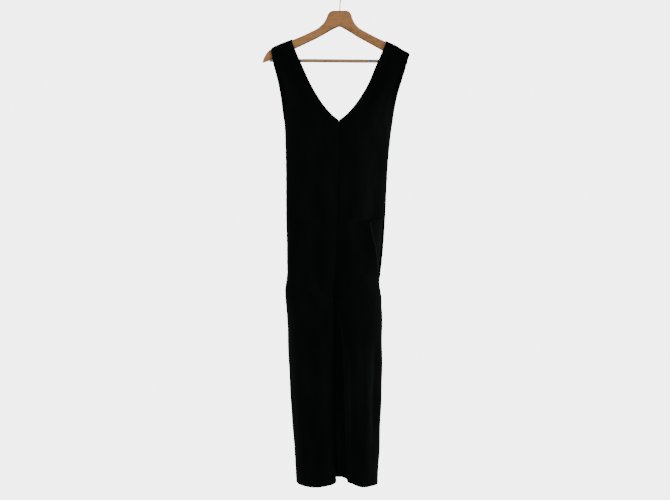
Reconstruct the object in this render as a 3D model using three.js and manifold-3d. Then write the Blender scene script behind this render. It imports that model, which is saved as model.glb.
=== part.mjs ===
// Sleeveless jumpsuit with a deep V at front and back, hung on a wooden clothes hanger.
// Millimetres, +Z up, front towards -Y, the wearer's left towards +X.
// The origin is the inside top of the hanger's hook, where a rail carries it.
// Heights are given as drops: millimetres below the flat top of the hanger's head.

import * as THREE from 'three';
import { mergeVertices } from 'three/addons/utils/BufferGeometryUtils.js';
import Module from 'manifold-3d';

const wasm = await Module();
wasm.setup();

// The hook: one bent wire, screwed down into the head.
const hook = {
  wire: 4, inside: 19, rise: 80, straight: 30, lean: 2.5, inWood: 18, start: -58, end: 196,
  steps: 16, rings: 56,
};

// The hanger as it hangs: turned about the plumb line and tilted in its own plane.
const hanger = { turn: -12, tilt: 2.7, bow: 45, thick: 12, reach: 204.5, sides: 14, square: 0.6 };

// The arms grow thinner from here out, over this length and by this share.
const armSlim = { from: 170, over: 50, by: 0.45 };

// The wood's upper and lower edges, half the hanger, by distance out from the middle.
const woodEdges = [
  { out: 0, top: 0, low: 44 },
  { out: 20, top: 0, low: 54 },
  { out: 27, top: 3, low: 58 },
  { out: 33, top: 10, low: 61.5 },
  { out: 38, top: 24, low: 64.5 },
  { out: 46, top: 37, low: 69.5 },
  { out: 60, top: 50.5, low: 77.5 },
  { out: 76, top: 59.8, low: 86 },
  { out: 98, top: 71.5, low: 98 },
  { out: 120, top: 82.5, low: 110 },
  { out: 145, top: 94, low: 124 },
  { out: 170, top: 106.5, low: 138 },
  { out: 185, top: 116.5, low: 147 },
  { out: 196, top: 129, low: 152.5 },
  { out: 202, top: 142.5, low: 155.5 },
  { out: 204.5, top: 151, low: 156.5 },
];

// Where the wood's rings stand, out from the middle.
const woodRings = [
  0, 12, 20, 24, 28, 32, 37, 44, 54, 68, 86, 108, 132, 156, 176, 187, 195, 200, 203.2, 204.5,
];

// The trouser bar between the arms, a dowel with a metal sleeve at each end.
const bar = {
  drop: 148, thick: 9.5, dowelHalf: 92, sleeve: 8.8, sleeveEnd: 187, boreFrom: 150, socket: 0.3, sides: 18,
};

// The cloth: wall, the gap at a seam, and how it lies over the arms.
const cloth = { wall: 1.5, seam: 0.3, overArm: 10.6, lift: 2.6, columns: 12, sway: -5.3 };

// How the layers leave the hanger: they lie against it for `held` below the arm's crest, then
// swing out to the tube's own depth over `front` or `back`, and hang free from `free` above the
// underarm. The front layer passes `overBar` before the bar, from `barFrom` over `barOver`.
const drape = {
  held: 38, front: 150, back: 190, free: 60, overBar: 8.4, belowBar: 12, barFrom: 8, barOver: 34,
};

// Past the arm's rounded end the shoulder line runs straight on at this slope.
const armEnd = { from: 185, slope: 0.55 };

// Levels where the cut changes.
const level = { join: 200, point: 316, backPoint: 330, underarm: 326, crotch: 806.5 };

// The pockets, and how far each slanted mouth stands in front of the side seam at its upper and
// lower end. The left one gapes, the right one lies closed along the side.
const pocket = { top: 582, end: 750, ramp: 16, under: 2, behind: 2.2, atSeam: 0.3, least: 5, wall: 1.2 };
const mouths = { left: { upper: 86, lower: 46 }, right: { upper: 31, lower: 6 } };

// The hems hang lower in the middle of each panel, and the left one rises towards the inseam.
const hem = { from: 1180, over: 140, left: 5, right: 6, inLeft: 19, inRight: 0, inner: 0.5, round: 0.7 };

// Half the neckline's width down the V, the same on both sides.
const neckline = [
  { drop: 60, half: 140 },
  { drop: 90, half: 132.5 },
  { drop: 112, half: 124.5 },
  { drop: 135, half: 115 },
  { drop: 157, half: 105 },
  { drop: 180, half: 95 },
  { drop: 202, half: 85.5 },
  { drop: 225, half: 74 },
  { drop: 247, half: 61 },
  { drop: 270, half: 46 },
  { drop: 292, half: 28 },
  { drop: 304, half: 16 },
  { drop: 316, half: 0 },
];

// Above this level the neckline stands even about the head's middle, below it about the seam.
const seamStart = { at: 250, over: 100 };

// The armhole edges, from the shoulder down to the underarm, out from the head's middle.
const armholes = [
  { drop: 60, left: 226, right: 207 },
  { drop: 100, left: 209, right: 194 },
  { drop: 121, left: 200, right: 189.5 },
  { drop: 137, left: 193, right: 187 },
  { drop: 150, left: 187.2, right: 185 },
  { drop: 167, left: 181.8, right: 180.5 },
  { drop: 184, left: 177.5, right: 176 },
  { drop: 202, left: 172, right: 171.4 },
  { drop: 247, left: 159.5, right: 163 },
  { drop: 292, left: 151.7, right: 157.4 },
  { drop: 326, left: 147.5, right: 153 },
];

// The tube's outline: where the centre seam lies, how far out the two sides stand, and how
// square the sections are.
const outline = [
  { drop: 60, seam: 1, left: 250, right: 246, square: 2.2 },
  { drop: 130, seam: 1, left: 224, right: 222, square: 2.2 },
  { drop: 200, seam: 1, left: 192, right: 194, square: 2.3 },
  { drop: 260, seam: 0, left: 164, right: 169, square: 2.4 },
  { drop: 326, seam: -1.5, left: 147.6, right: 153.1, square: 2.5 },
  { drop: 380, seam: -3, left: 141, right: 151.5, square: 2.5 },
  { drop: 450, seam: -4.5, left: 134.5, right: 149, square: 2.5 },
  { drop: 582, seam: -6.5, left: 125, right: 145.5, square: 2.6 },
  { drop: 674, seam: -9.5, left: 118.5, right: 143, square: 2.7 },
  { drop: 735, seam: -11.5, left: 112, right: 143, square: 2.8 },
  { drop: 766, seam: -12.3, left: 108.5, right: 147.5, square: 2.9 },
  { drop: 792, seam: -12.6, left: 112.5, right: 151, square: 3 },
  { drop: 806.5, seam: -12.6, left: 114.5, right: 150.5, square: 3 },
  { drop: 871, seam: -12.6, left: 116.8, right: 147, square: 2.9 },
  { drop: 955, seam: -12.6, left: 115, right: 144, square: 2.7 },
  { drop: 1040, seam: -12.6, left: 111.5, right: 140.5, square: 2.6 },
  { drop: 1130, seam: -12.6, left: 108.5, right: 135, square: 2.5 },
  { drop: 1208, seam: -12.6, left: 106, right: 128, square: 2.4 },
  { drop: 1330, seam: -12.6, left: 103.5, right: 120.5, square: 2.3 },
];

// Each half of the tube: where the inside of the leg lies from the seam (below zero it runs
// past it), half its depth, and how far it has turned about itself, in degrees.
const halves = [
  { drop: 60, inLeft: -90, inRight: -90, deepLeft: 26, deepRight: 26, turnLeft: 0, turnRight: 0 },
  { drop: 130, inLeft: -80, inRight: -80, deepLeft: 32, deepRight: 32, turnLeft: 0, turnRight: 0 },
  { drop: 200, inLeft: -72, inRight: -72, deepLeft: 44, deepRight: 44, turnLeft: 0, turnRight: 0 },
  { drop: 260, inLeft: -66, inRight: -66, deepLeft: 57, deepRight: 57, turnLeft: 0, turnRight: 0 },
  { drop: 326, inLeft: -60, inRight: -60, deepLeft: 66, deepRight: 66, turnLeft: 0, turnRight: 0 },
  { drop: 380, inLeft: -56, inRight: -56, deepLeft: 70, deepRight: 70, turnLeft: 0, turnRight: 0 },
  { drop: 450, inLeft: -52, inRight: -52, deepLeft: 72, deepRight: 72, turnLeft: 0, turnRight: 0 },
  { drop: 582, inLeft: -43, inRight: -43, deepLeft: 74, deepRight: 74, turnLeft: 0, turnRight: 0 },
  { drop: 674, inLeft: -32, inRight: -32, deepLeft: 76, deepRight: 76, turnLeft: 0, turnRight: 0 },
  { drop: 735, inLeft: -19, inRight: -19, deepLeft: 76, deepRight: 76, turnLeft: 0, turnRight: 0 },
  { drop: 766, inLeft: -10, inRight: -10, deepLeft: 74.5, deepRight: 74.5, turnLeft: 0, turnRight: 0 },
  { drop: 792, inLeft: -3.2, inRight: -3.2, deepLeft: 73, deepRight: 73, turnLeft: 0, turnRight: 0 },
  { drop: 806.5, inLeft: 0.2, inRight: 0.2, deepLeft: 72, deepRight: 72, turnLeft: 0, turnRight: 0 },
  { drop: 871, inLeft: -1.5, inRight: 1, deepLeft: 72, deepRight: 69, turnLeft: 12, turnRight: -5 },
  { drop: 955, inLeft: -4.5, inRight: 3, deepLeft: 72, deepRight: 65, turnLeft: 22, turnRight: -9 },
  { drop: 1040, inLeft: -5.5, inRight: 3.5, deepLeft: 71, deepRight: 62, turnLeft: 25, turnRight: -10 },
  { drop: 1130, inLeft: -4.5, inRight: 4, deepLeft: 70, deepRight: 60, turnLeft: 26, turnRight: -9 },
  { drop: 1208, inLeft: -3.5, inRight: 2.5, deepLeft: 69, deepRight: 59, turnLeft: 27, turnRight: -7 },
  { drop: 1330, inLeft: 2.5, inRight: -2.5, deepLeft: 68, deepRight: 58, turnLeft: 27, turnRight: -3 },
];

// The largest folds. Each runs down a panel from one place across it to another (0 at the
// centre seam or inseam, 1 at the side seam) and stands out (+) or in (-) by its depth.
const folds = [
  { panel: 'front_left', from: 360, until: 700, across: 0.62, to: 0.5, wide: 26, depth: -7 },
  { panel: 'front_left', from: 880, until: 1240, across: 0.64, to: 0.66, wide: 17, depth: -11 },
  { panel: 'front_left', from: 900, until: 1320, across: 0.79, to: 0.81, wide: 20, depth: 5 },
  { panel: 'front_left', from: 790, until: 1420, across: 0.26, to: 0.26, wide: 10, depth: 6 },
  { panel: 'front_left', from: 800, until: 1420, across: 0.13, to: 0.13, wide: 18, depth: -7 },
  { panel: 'front_right', from: 420, until: 800, across: 0.55, to: 0.66, wide: 28, depth: -6 },
  { panel: 'front_right', from: 760, until: 1300, across: 0.52, to: 0.56, wide: 24, depth: -7 },
  { panel: 'back_left', from: 350, until: 900, across: 0.45, to: 0.58, wide: 30, depth: -10 },
  { panel: 'back_left', from: 860, until: 1320, across: 0.5, to: 0.42, wide: 24, depth: -8 },
  { panel: 'back_right', from: 380, until: 860, across: 0.5, to: 0.62, wide: 30, depth: -9 },
  { panel: 'back_right', from: 880, until: 1320, across: 0.55, to: 0.5, wide: 24, depth: -9 },
];

// The sides fall in between front and back, with a soft ridge on each side of the dip:
// the dip's half width, the levels where it starts and is whole, and its depth. On the right
// leg it ends again, where the leg hangs round.
const sideDip = {
  wide: 26, top: 380, full: 620, depth: 10, ridge: 0.8, seam: 1.2, spread: 2, inner: 40,
  rightEnd: 690, rightOver: 170,
};

// Folds fade in and out over these shares of their length, and this far from a seam.
const foldEnds = { start: 0.3, finish: 0.25, aside: 30 };

// Rows down each panel: angles over the arm's crest, shares of the way from there to the first
// level row, and then level rows, as drops.
const crestAngles = [0, 25, 48, 70];
const strapRows = [0, 0.12, 0.27, 0.44, 0.62, 0.81];
const lowerRows = [
  200, 224, 248, 272, 294, 306, 316, 326, 345, 375, 412, 452, 496, 540, 582, 584.7, 587.3, 590,
  592.7, 595.3, 598, 622, 654, 684, 710, 734, 738, 742, 746, 750, 768, 783, 794, 801, 804.5, 806.5,
  811, 824, 850, 890, 935, 985, 1035, 1085, 1135, 1185, 1235, 1282, 1320,
];

const radians = Math.PI / 180;
const straps = crestAngles.length + strapRows.length;
const smooth = (t) => {
  const c = Math.min(1, Math.max(0, t));
  return c * c * (3 - 2 * c);
};

// A smooth curve through one column of a table, by its first column: cubic between rows,
// with slopes that keep it from overshooting.
function through(rows, key, value) {
  const x = rows.map((row) => row[key]);
  const y = rows.map((row) => row[value]);
  const rise = x.slice(1).map((v, i) => (y[i + 1] - y[i]) / (v - x[i]));
  const slope = y.map((_, i) => {
    if (i === 0) return rise[0];
    if (i === y.length - 1) return rise[i - 1];
    return rise[i - 1] * rise[i] <= 0 ? 0 : (2 * rise[i - 1] * rise[i]) / (rise[i - 1] + rise[i]);
  });
  return (at) => {
    let i = x.findIndex((v) => v > at) - 1;
    if (i === -2) i = x.length - 2;
    i = Math.max(0, i);
    const h = x[i + 1] - x[i];
    const t = Math.min(1, Math.max(0, (at - x[i]) / h));
    const t2 = t * t;
    const t3 = t2 * t;
    return y[i] * (2 * t3 - 3 * t2 + 1) + slope[i] * h * (t3 - 2 * t2 + t)
      + y[i + 1] * (3 * t2 - 2 * t3) + slope[i + 1] * h * (t3 - t2);
  };
}

const woodTop = through(woodEdges, 'out', 'top');
const woodLow = through(woodEdges, 'out', 'low');
const neckHalf = through(neckline, 'drop', 'half');
const armhole = { left: through(armholes, 'drop', 'left'), right: through(armholes, 'drop', 'right') };
const section = Object.fromEntries([outline, halves].flatMap(
  (table) => Object.keys(table[0]).map((name) => [name, through(table, 'drop', name)]),
));
const heightOf = (drop) => -hook.rise - drop;

// The hanger's own frame to the part's: tilted about the hook, then turned about the plumb line.
const hung = new THREE.Matrix4()
  .makeRotationZ(hanger.turn * radians)
  .multiply(new THREE.Matrix4().makeRotationY(hanger.tilt * radians));
const onHanger = (x, y, z) => new THREE.Vector3(x, y, z).applyMatrix4(hung);
const bowAt = (x) => -hanger.bow * (x / hanger.reach) ** 2;
const barHeight = heightOf(bar.drop);
const barForward = bowAt(bar.sleeveEnd);

// A closed geometry from points and triangles.
function solid(points, faces) {
  const geometry = new THREE.BufferGeometry();
  geometry.setAttribute('position', new THREE.Float32BufferAttribute(points.flatMap((p) => p.toArray()), 3));
  geometry.setIndex(faces.flat());
  return geometry;
}

// A skin over rings with the same number of points each, closed by a flat fan at both ends.
function loft(rings) {
  const size = rings[0].length;
  const points = rings.flat();
  const faces = [];
  for (let r = 0; r < rings.length - 1; r += 1) {
    for (let i = 0; i < size; i += 1) {
      const a = r * size + i;
      const b = r * size + ((i + 1) % size);
      faces.push([a, b, b + size], [a, b + size, a + size]);
    }
  }
  const last = (rings.length - 1) * size;
  for (let i = 1; i < size - 1; i += 1) {
    faces.push([0, i + 1, i], [last, last + i, last + i + 1]);
  }
  return solid(points, faces);
}

const toManifold = (geometry) => {
  const bare = geometry.clone();
  bare.deleteAttribute('normal');
  bare.deleteAttribute('uv');
  const merged = mergeVertices(bare, 1e-4);
  return new wasm.Manifold(new wasm.Mesh({
    numProp: 3,
    vertProperties: new Float32Array(merged.attributes.position.array),
    triVerts: new Uint32Array(merged.index.array),
  }));
};

const fromManifold = (body) => {
  const mesh = body.getMesh();
  const geometry = new THREE.BufferGeometry();
  geometry.setAttribute('position', new THREE.BufferAttribute(new Float32Array(mesh.vertProperties), 3));
  geometry.setIndex(new THREE.BufferAttribute(new Uint32Array(mesh.triVerts), 1));
  return geometry;
};

// A round rod along the hanger's own X axis, or down its Z axis.
function rod(diameter, length, sides, middle, upright = false) {
  const geometry = new THREE.CylinderGeometry(diameter / 2, diameter / 2, length, sides);
  geometry.rotateZ(upright ? 0 : -Math.PI / 2);
  if (upright) geometry.rotateX(Math.PI / 2);
  geometry.translate(middle.x, middle.y, middle.z);
  return geometry.applyMatrix4(hung);
}

// The wood: rings across, each a rounded upright section between the two edges of the arm.
function woodSolid() {
  const rounded = (v) => Math.sign(v) * Math.abs(v) ** hanger.square;
  const ring = (x) => {
    const out = Math.abs(x);
    const top = heightOf(woodTop(out));
    const low = heightOf(woodLow(out));
    const slim = hanger.thick / 2 * (1 - armSlim.by * smooth((out - armSlim.from) / armSlim.over));
    return Array.from({ length: hanger.sides }, (_, i) => {
      const angle = (i / hanger.sides) * 2 * Math.PI;
      const y = bowAt(x) + slim * rounded(Math.cos(angle));
      const z = (top + low) / 2 + (top - low) / 2 * rounded(Math.sin(angle));
      return onHanger(x, y, z);
    });
  };
  const across = [...woodRings.slice(1).reverse().map((x) => -x), ...woodRings];
  return loft(across.map(ring));
}

function makeWood() {
  const grown = 2 * bar.socket;
  const past = 20;
  const holeMiddle = { x: 0, y: 0, z: heightOf(hook.inWood) + (hook.inWood + past) / 2 - bar.socket };
  const shankHole = rod(hook.wire + grown, hook.inWood + past, bar.sides, holeMiddle, true);
  let body = toManifold(woodSolid()).subtract(toManifold(shankHole));
  for (const side of [-1, 1]) {
    const length = bar.sleeveEnd - bar.boreFrom + bar.socket;
    const middle = { x: side * (bar.boreFrom + length / 2), y: barForward, z: barHeight };
    body = body.subtract(toManifold(rod(bar.sleeve + grown, length, bar.sides, middle)));
  }
  return fromManifold(body);
}

// The hook's wire: straight up out of the head, over to one side, and round the crook.
function makeHook() {
  const radius = hook.inside + hook.wire / 2;
  const centre = -hook.inside;
  const route = [
    onHanger(0, 0, heightOf(hook.inWood)),
    onHanger(0, 0, heightOf(0)),
    onHanger(0, 0, heightOf(-hook.straight * 0.6)),
    onHanger(hook.lean, 0, heightOf(-hook.straight)),
  ];
  for (let i = 0; i <= hook.steps; i += 1) {
    const angle = (hook.start + (hook.end - hook.start) * (i / hook.steps)) * radians;
    route.push(onHanger(radius * Math.cos(angle), 0, centre + radius * Math.sin(angle)));
  }
  const path = new THREE.CatmullRomCurve3(route, false, 'centripetal');
  const round = new THREE.Shape().absarc(0, 0, hook.wire / 2, 0, 2 * Math.PI);
  return new THREE.ExtrudeGeometry(round, { steps: hook.rings, extrudePath: path, curveSegments: 5 });
}

// One section of half the tube, from the seam side (share 0) to the side seam (share 1).
// A rounded oblong, turned about its own middle; where it would reach past the seam line
// it is cut there, and above the underarm it is cut at the armhole and the neckline.
function halfSection(side, face, drop, mouth = 0) {
  const wide = side > 0 ? 'left' : 'right';
  const inside = side > 0 ? section.inLeft(drop) : section.inRight(drop);
  const turn = (side > 0 ? section.turnLeft(drop) : section.turnRight(drop)) * radians;
  const seam = section.seam(drop);
  const outside = section[wide](drop) - side * seam;
  const square = section.square(drop);
  const depth = side > 0 ? section.deepLeft(drop) : section.deepRight(drop);
  const dual = square / (square - 1);
  const reach = (outside - inside) / 2;
  const middle = (outside + inside) / 2;
  const half = (reach ** dual - Math.abs(depth * Math.sin(turn)) ** dual) ** (1 / dual) / Math.cos(turn);
  const point = (angle) => {
    const c = Math.cos(angle);
    const s = Math.sin(angle);
    const x = half * Math.sign(c) * Math.abs(c) ** (2 / square);
    const f = face * depth * Math.abs(s) ** (2 / square);
    return {
      x: middle + x * Math.cos(turn) + f * Math.sin(turn),
      y: x * Math.sin(turn) - f * Math.cos(turn),
    };
  };
  const angleAt = (x) => {
    const share = Math.min(1, Math.max(-1, (x - middle) / half));
    return Math.acos(Math.sign(share) * Math.abs(share) ** (square / 2));
  };
  const deeper = face > 0 ? 0 : level.backPoint - level.point;
  const neck = neckHalf(drop - deeper) - side * seam * smooth((seamStart.at - drop) / seamStart.over);
  const seamEdge = Math.max(drop < level.point + deeper ? neck : 0, cloth.seam / 2);
  const inEdge = drop < level.crotch ? seamEdge : null;
  const start = inEdge === null ? Math.PI : angleAt(inEdge);
  const end = drop < level.underarm ? angleAt(armhole[wide](drop) - side * seam) : 0;

  // Equal steps along the curve, from a fine polyline of it.
  const fine = 240;
  const trace = Array.from({ length: fine + 1 }, (_, i) => {
    const t = i / fine;
    return point(start + (end - start) * (t - Math.sin(2 * Math.PI * t) / (4 * Math.PI)));
  });
  const run = [0];
  for (let i = 1; i <= fine; i += 1) {
    run.push(run[i - 1] + Math.hypot(trace[i].x - trace[i - 1].x, trace[i].y - trace[i - 1].y));
  }
  const total = run[fine];
  const free = { in: inEdge === null ? cloth.seam / 2 : 0, out: cloth.seam / 2 };
  const length = total - free.in - free.out - mouth;
  const at = (share) => {
    const goal = free.in + share * length;
    let i = run.findIndex((v) => v >= goal);
    i = Math.max(1, i === -1 ? fine : i);
    const t = (goal - run[i - 1]) / (run[i] - run[i - 1]);
    const a = trace[i - 1];
    const b = trace[i];
    const step = Math.hypot(b.x - a.x, b.y - a.y);
    return {
      x: side * (a.x + (b.x - a.x) * t) + seam,
      y: a.y + (b.y - a.y) * t,
      nx: (side * face * (b.y - a.y)) / step * face,
      ny: (-face * (b.x - a.x)) / step,
      fromIn: goal,
      fromOut: total - goal,
    };
  };
  return { at, length };
}

// How far the cloth stands in or out at one place on a panel.
function foldAt(name, drop, fromIn, fromOut) {
  const share = fromIn / (fromIn + fromOut);
  const quiet = smooth(fromIn / foldEnds.aside) * smooth(fromOut / foldEnds.aside);
  let out = 0;
  for (const fold of folds.filter((row) => row.panel === name)) {
    const along = (drop - fold.from) / (fold.until - fold.from);
    const line = fold.across + (fold.to - fold.across) * along;
    const off = ((share - line) * (fromIn + fromOut)) / fold.wide;
    const faded = smooth(along / foldEnds.start) * smooth((1 - along) / foldEnds.finish);
    out += fold.depth * Math.exp(-off * off) * faded;
  }
  const ended = name.endsWith('right') ? smooth((drop - sideDip.rightEnd) / sideDip.rightOver) : 0;
  const dip = smooth((drop - sideDip.top) / (sideDip.full - sideDip.top)) * (1 - ended);
  const aside = fromOut / sideDip.wide;
  const ridge = sideDip.ridge * Math.exp(-((aside / sideDip.spread) ** 2)) * smooth(fromIn / sideDip.inner);
  return out * quiet + sideDip.depth * dip * (ridge - sideDip.seam * Math.exp(-aside * aside));
}

// The shoulder: the arm's crest and the bar at this place across, in the part's frame, and how
// much longer than its thickness the cloth's way round the slanting arm is. Past the arm's
// rounded end the shoulder line runs straight on.
function shoulderAt(x) {
  const crestAt = (own) => {
    const out = Math.abs(own);
    const straight = woodTop(armEnd.from) + (out - armEnd.from) * armEnd.slope;
    return onHanger(own, bowAt(own), heightOf(out > armEnd.from ? straight : woodTop(out)));
  };
  let own = x / Math.cos(hanger.turn * radians);
  for (let i = 0; i < 6; i += 1) own += x - crestAt(own).x;
  const ahead = crestAt(own + 1);
  const behind = crestAt(own - 1);
  const slant = Math.hypot(1, (ahead.y - behind.y) / (ahead.x - behind.x));
  return { crest: crestAt(own), bar: onHanger(own, barForward, barHeight), slant };
}

// How far a panel's edge stands in front of the side seam at its pocket; the back has none.
const mouthAt = (side, face, drop) => {
  if (face < 0 || drop <= pocket.top || drop >= pocket.end) return 0;
  const { upper, lower } = side > 0 ? mouths.left : mouths.right;
  const open = upper + (lower - upper) * (drop - pocket.top) / (pocket.end - pocket.top);
  return open * smooth((drop - pocket.top) / pocket.ramp) * smooth((pocket.end - drop) / pocket.ramp);
};

// One panel's outer points: rows from the shoulder seam down to the hem.
function panelRows(name, side, face) {
  const rows = [];
  const shares = Array.from({ length: cloth.columns + 1 }, (_, i) => i / cloth.columns);
  const place = (share, dropOf) => {
    let x = side * armhole.left(level.join);
    let found;
    let drop;
    for (let i = 0; i < 5; i += 1) {
      drop = dropOf(x);
      found = halfSection(side, face, drop).at(share);
      x = found.x + cloth.sway;
    }
    return { ...found, drop, x };
  };
  const finish = (p) => {
    const shoulder = shoulderAt(p.x);
    const below = p.drop - (-hook.rise - shoulder.crest.z);
    let near = shoulder.crest.y - face * (cloth.overArm * shoulder.slant + cloth.seam / 2);
    let held = drape.held;
    if (face > 0) {
      const barDepth = Math.min(near, shoulder.bar.y - drape.overBar);
      near += (barDepth - near) * smooth((below - drape.barFrom) / drape.barOver);
      held = Math.max(held, shoulder.crest.z - shoulder.bar.z + drape.belowBar);
    }
    const away = smooth((below - held) / (face > 0 ? drape.front : drape.back));
    const hug = (1 - away) * smooth((level.underarm - p.drop) / drape.free);
    const fold = foldAt(name, p.drop, p.fromIn, p.fromOut) * (1 - hug);
    const y = (p.y + fold * p.ny) * (1 - hug) + near * hug;
    return new THREE.Vector3(p.x + fold * p.nx, y, heightOf(p.drop));
  };
  const crestDrop = (x) => -hook.rise - shoulderAt(x).crest.z;

  // Over the arm: a quarter round from the shoulder seam to the front or back of the wood.
  for (const angle of crestAngles) {
    rows.push(shares.map((share) => {
      const p = place(share, (x) => crestDrop(x) + cloth.overArm / 2);
      const { crest, slant } = shoulderAt(p.x);
      const y = crest.y - face * (cloth.seam / 2 + slant * cloth.overArm * Math.sin(angle * radians));
      const z = crest.z + cloth.lift - cloth.overArm * (1 - Math.cos(angle * radians));
      return new THREE.Vector3(p.x, y, z);
    }));
  }
  const firstDrop = (x) => crestDrop(x) - cloth.lift + cloth.overArm;
  for (const part of strapRows) {
    rows.push(shares.map((share) => {
      return finish(place(share, (x) => firstDrop(x) + part * (level.join - firstDrop(x))));
    }));
  }
  for (const drop of lowerRows) {
    const row = halfSection(side, face, drop, mouthAt(side, face, drop));
    rows.push(shares.map((share) => {
      const p = row.at(share);
      const out = finish({ ...p, drop, x: p.x + cloth.sway });
      const sag = (side > 0 ? hem.left : hem.right) * Math.sin(Math.PI * share) ** hem.round;
      const raised = (side > 0 ? hem.inLeft : hem.inRight) * (1 - smooth(share / hem.inner));
      out.z -= smooth((drop - hem.from) / hem.over) * (sag - raised);
      return out;
    }));
  }
  return rows;
}

// Outward normals of a grid of points, from its neighbours; along a seam the normal lies
// in the seam's own plane, so that the two walls stay side by side there.
function gridNormals(rows, side, face) {
  const last = rows.length - 1;
  return rows.map((row, k) => row.map((_, i) => {
    const du = row[Math.min(i + 1, row.length - 1)].clone().sub(row[Math.max(i - 1, 0)]);
    const dv = rows[Math.max(k - 1, 0)][i].clone().sub(rows[Math.min(k + 1, last)][i]);
    const n = du.cross(dv).multiplyScalar(side * face).normalize();
    const drop = k < straps ? 0 : lowerRows[k - straps];
    const mouth = mouthAt(side, face, drop) > 0;
    const turn = (side > 0 ? section.turnLeft(drop) : section.turnRight(drop)) * radians;
    const sideways = new THREE.Vector3(side * Math.cos(turn), Math.sin(turn), 0);
    const pointAt = face > 0 ? level.point : level.backPoint;
    if (k === 0) return new THREE.Vector3(0, 0, 1);
    if (i === row.length - 1 && drop >= level.underarm && !mouth) return sideways;
    if (i === 0 && drop >= level.crotch) return sideways.negate();
    if (i === 0 && drop >= pointAt) return new THREE.Vector3(0, -face, 0);
    return n;
  }));
}

// A wall: an outer grid, an inner grid one wall in, and a strip round the four edges.
function wallSolid(rows, normals, wall, flip) {
  const high = rows.length;
  const across = rows[0].length;
  const outer = rows.flat();
  const inner = rows.flatMap((row, k) => row.map((p, i) => p.clone().addScaledVector(normals[k][i], -wall)));
  const count = high * across;
  const faces = [];
  const quad = (a, b, c, d) => faces.push([a, b, c], [a, c, d]);
  for (let k = 0; k < high - 1; k += 1) {
    for (let i = 0; i < across - 1; i += 1) {
      const a = k * across + i;
      quad(a, a + across, a + across + 1, a + 1);
      quad(count + a, count + a + 1, count + a + across + 1, count + a + across);
    }
  }
  const rim = [];
  for (let i = 0; i < across - 1; i += 1) rim.push([i, i + 1]);
  for (let k = 0; k < high - 1; k += 1) rim.push([(k + 1) * across - 1, (k + 2) * across - 1]);
  for (let i = across - 1; i > 0; i -= 1) rim.push([(high - 1) * across + i, (high - 1) * across + i - 1]);
  for (let k = high - 1; k > 0; k -= 1) rim.push([k * across, (k - 1) * across]);
  for (const [a, b] of rim) quad(a, b, count + b, count + a);
  return solid([...outer, ...inner], flip ? faces.map(([a, b, c]) => [a, c, b]) : faces);
}

// The facing behind a pocket's mouth: the last points of the front panel moved in under it,
// and then across the open mouth to the side seam.
function facingSolid(side, frontRows, frontNormals) {
  const deep = cloth.wall + pocket.behind;
  const shares = [0, 0.2, 0.4, 0.6, 0.8, 1];
  const firstRow = straps + lowerRows.indexOf(pocket.top);
  const lastRow = straps + lowerRows.indexOf(pocket.end);
  const rows = [];
  const normals = [];
  for (let k = firstRow; k <= lastRow; k += 1) {
    const drop = lowerRows[k - straps];
    const mouth = Math.max(mouthAt(side, 1, drop), pocket.least);
    const across = frontRows[k].length;
    const row = [];
    const normal = [];
    for (let i = across - 1 - pocket.under; i < across - 1; i += 1) {
      row.push(frontRows[k][i].clone().addScaledVector(frontNormals[k][i], -deep));
      normal.push(frontNormals[k][i].clone());
    }
    const whole = halfSection(side, 1, drop, 0);
    const name = side > 0 ? 'front_left' : 'front_right';
    for (const part of shares) {
      const share = 1 - (mouth * (1 - part)) / whole.length;
      const p = whole.at(share);
      const fold = foldAt(name, drop, p.fromIn, p.fromOut);
      const n = part === 1 ? new THREE.Vector3(side, 0, 0) : new THREE.Vector3(p.nx, p.ny, 0);
      const at = new THREE.Vector3(p.x + cloth.sway + fold * p.nx, p.y + fold * p.ny, heightOf(drop));
      row.push(at.addScaledVector(n, part === 1 ? -cloth.wall - pocket.atSeam : -deep));
      normal.push(n);
    }
    rows.push(row);
    normals.push(normal);
  }
  return wallSolid(rows, normals, pocket.wall, side < 0);
}

const group = new THREE.Group();
const finishes = {
  velvet: new THREE.MeshStandardMaterial({ color: 0x0b0c0c, roughness: 0.95, metalness: 0 }),
  wood: new THREE.MeshStandardMaterial({ color: 0x9e734a, roughness: 0.5, metalness: 0 }),
  steel: new THREE.MeshStandardMaterial({ color: 0xa6a6a4, roughness: 0.3, metalness: 1 }),
};

function add(name, geometry, finish) {
  const mesh = new THREE.Mesh(geometry, finish);
  mesh.name = name;
  group.add(mesh);
}

for (const [word, side] of [['left', 1], ['right', -1]]) {
  for (const [which, face] of [['front', 1], ['back', -1]]) {
    const name = `${which}_${word}`;
    const rows = panelRows(name, side, face);
    const normals = gridNormals(rows, side, face);
    add(name, wallSolid(rows, normals, cloth.wall, side * face < 0), finishes.velvet);
    if (face > 0) add(`pocket_facing_${word}`, facingSolid(side, rows, normals), finishes.velvet);
  }
}

add('hanger_wood', makeWood(), finishes.wood);
add('hanger_hook', makeHook(), finishes.steel);
const dowelMiddle = { x: 0, y: barForward, z: barHeight };
add('bar_dowel', rod(bar.thick, 2 * bar.dowelHalf, bar.sides, dowelMiddle), finishes.wood);
for (const [word, side] of [['left', 1], ['right', -1]]) {
  const inner = bar.dowelHalf + cloth.seam;
  const length = bar.sleeveEnd - inner;
  const middle = { x: side * (inner + length / 2), y: barForward, z: barHeight };
  add(`bar_sleeve_${word}`, rod(bar.sleeve, length, bar.sides, middle), finishes.steel);
}

export default group;
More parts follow.
